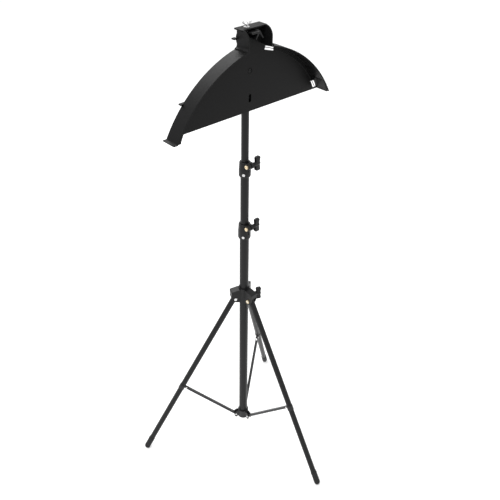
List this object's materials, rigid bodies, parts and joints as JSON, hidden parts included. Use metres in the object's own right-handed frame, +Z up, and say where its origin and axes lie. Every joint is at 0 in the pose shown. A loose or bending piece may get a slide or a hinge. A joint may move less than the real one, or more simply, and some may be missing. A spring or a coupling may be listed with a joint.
{
  "type": "music stand",
  "caption": "Telescopic tripod stand whose column carries a half-moon moulded shell with a screw clamp box on top.",
  "frame": {"origin": "on the floor, on the axis of the column", "axes": "+Z up the column, +X along the straight lower edge of the half-moon shell, -Y out of the shell's open front"},
  "size_m": [0.5511, 0.4974, 1.3034],
  "materials": {
    "tube_paint": "satin",
    "shell_plastic": "satin",
    "black_plastic": "matte",
    "strut_paint": "satin",
    "brass": "satin",
    "zinc": "satin",
    "dark_steel": "satin",
    "foot_rubber": "matte"
  },
  "bodies": {
    "column_base": {"lower_tube": "tube_paint", "column_foot_plug": "black_plastic", "spreader_collar": "strut_paint", "spreader_rivets": "zinc", "lower_clamp_collar": "black_plastic", "lower_clamp_nut": "brass", "lower_collar_screw": "zinc"},
    "lower_knob": {"lower_clamp_knob": "black_plastic", "lower_clamp_stud": "zinc"},
    "hub": {"leg_hub": "black_plastic", "leg_pivot_bolts": "zinc", "leg_pivot_nuts": "brass"},
    "hub_knob": {"hub_clamp_knob": "black_plastic", "hub_clamp_stud": "zinc"},
    "middle_section": {"middle_tube": "tube_paint", "middle_guide_bush": "black_plastic", "upper_clamp_collar": "black_plastic", "upper_clamp_nut": "brass", "upper_collar_screw": "zinc"},
    "upper_knob": {"upper_clamp_knob": "black_plastic", "upper_clamp_stud": "zinc"},
    "upper_guide": {"upper_guide_bush": "black_plastic"},
    "head": {"upper_tube": "tube_paint", "column_top_plug": "black_plastic", "half_moon_shell": "shell_plastic", "shell_screw": "dark_steel", "shell_nut": "dark_steel", "clamp_insert": "zinc"},
    "clamp_press": {"clamp_block": "black_plastic"},
    "wing": {"wing_screw": "zinc"},
    "leg_front": {"leg_tube_front": "tube_paint", "rubber_foot_front": "foot_rubber", "strut_clip_front": "strut_paint", "strut_rivet_front": "zinc"},
    "stay_front": {"strut_front": "strut_paint"},
    "leg_right": {"leg_tube_right": "tube_paint", "rubber_foot_right": "foot_rubber", "strut_clip_right": "strut_paint", "strut_rivet_right": "zinc"},
    "stay_right": {"strut_right": "strut_paint"},
    "leg_left": {"leg_tube_left": "tube_paint", "rubber_foot_left": "foot_rubber", "strut_clip_left": "strut_paint", "strut_rivet_left": "zinc"},
    "stay_left": {"strut_left": "strut_paint"}
  },
  "joints": [
    {"name": "hub_slide", "type": "slide", "parent": "column_base", "child": "hub", "axis": [0, 0, 1], "range_m": [0, 0.0961]},
    {"name": "lower_knob_turn", "type": "hinge", "parent": "column_base", "child": "lower_knob", "pos_m": [0, -0.0192, 0.774], "axis": [1, 0, 0], "range_deg": [0, 450]},
    {"name": "hub_knob_turn", "type": "hinge", "parent": "hub", "child": "hub_knob", "pos_m": [0, 0, 0.543], "axis": [0.8973, -0.4415, 0], "range_deg": [0, 450]},
    {"name": "middle_tube_slide", "type": "slide", "parent": "column_base", "child": "middle_section", "axis": [0, 0, 1], "range_m": [-0.124, 0.22]},
    {"name": "upper_knob_turn", "type": "hinge", "parent": "middle_section", "child": "upper_knob", "pos_m": [0, -0.0177, 0.952], "axis": [1, 0, 0], "range_deg": [0, 450]},
    {"name": "upper_tube_slide", "type": "slide", "parent": "middle_section", "child": "upper_guide", "axis": [0, 0, 1], "range_m": [-0.122, 0.18]},
    {"name": "head_swivel", "type": "hinge", "parent": "upper_guide", "child": "head", "pos_m": [0, 0, 0.7], "axis": [0, 0, 1], "continuous": true},
    {"name": "clamp_travel", "type": "slide", "parent": "head", "child": "clamp_press", "axis": [0, 0, -1], "range_m": [0, 0.002]},
    {"name": "wing_screw_turn", "type": "hinge", "parent": "clamp_press", "child": "wing", "pos_m": [-0.013, -0.017, 1.289], "axis": [0, 0, 1], "range_deg": [0, 720]},
    {"name": "leg_front_fold", "type": "hinge", "parent": "hub", "child": "leg_front", "pos_m": [0.00179, -0.02694, 0.541], "axis": [0.9978, 0.0663, 0], "range_deg": [0, 26.5]},
    {"name": "stay_front_fold", "type": "hinge", "parent": "leg_front", "child": "stay_front", "pos_m": [0.01176, -0.17705, 0.22915], "axis": [0.9978, 0.0663, 0], "range_deg": [-71.2, 0]},
    {"name": "leg_right_fold", "type": "hinge", "parent": "hub", "child": "leg_right", "pos_m": [0.02244, 0.01502, 0.541], "axis": [-0.5563, 0.831, 0], "range_deg": [0, 26.5]},
    {"name": "stay_right_fold", "type": "hinge", "parent": "leg_right", "child": "stay_right", "pos_m": [0.14745, 0.09871, 0.22915], "axis": [-0.5563, 0.831, 0], "range_deg": [-71.2, 0]},
    {"name": "leg_left_fold", "type": "hinge", "parent": "hub", "child": "leg_left", "pos_m": [-0.02423, 0.01192, 0.541], "axis": [-0.4415, -0.8973, 0], "range_deg": [0, 26.5]},
    {"name": "stay_left_fold", "type": "hinge", "parent": "leg_left", "child": "stay_left", "pos_m": [-0.15921, 0.07834, 0.22915], "axis": [-0.4415, -0.8973, 0], "range_deg": [-71.2, 0]}
  ],
  "couplings": [
    {"joint": "leg_front_fold", "follows": "hub_slide", "rad_per_m": 4.7931},
    {"joint": "stay_front_fold", "follows": "hub_slide", "rad_per_m": -12.896},
    {"joint": "leg_right_fold", "follows": "hub_slide", "rad_per_m": 4.7931},
    {"joint": "stay_right_fold", "follows": "hub_slide", "rad_per_m": -12.896},
    {"joint": "leg_left_fold", "follows": "hub_slide", "rad_per_m": 4.7931},
    {"joint": "stay_left_fold", "follows": "hub_slide", "rad_per_m": -12.896}
  ]
}
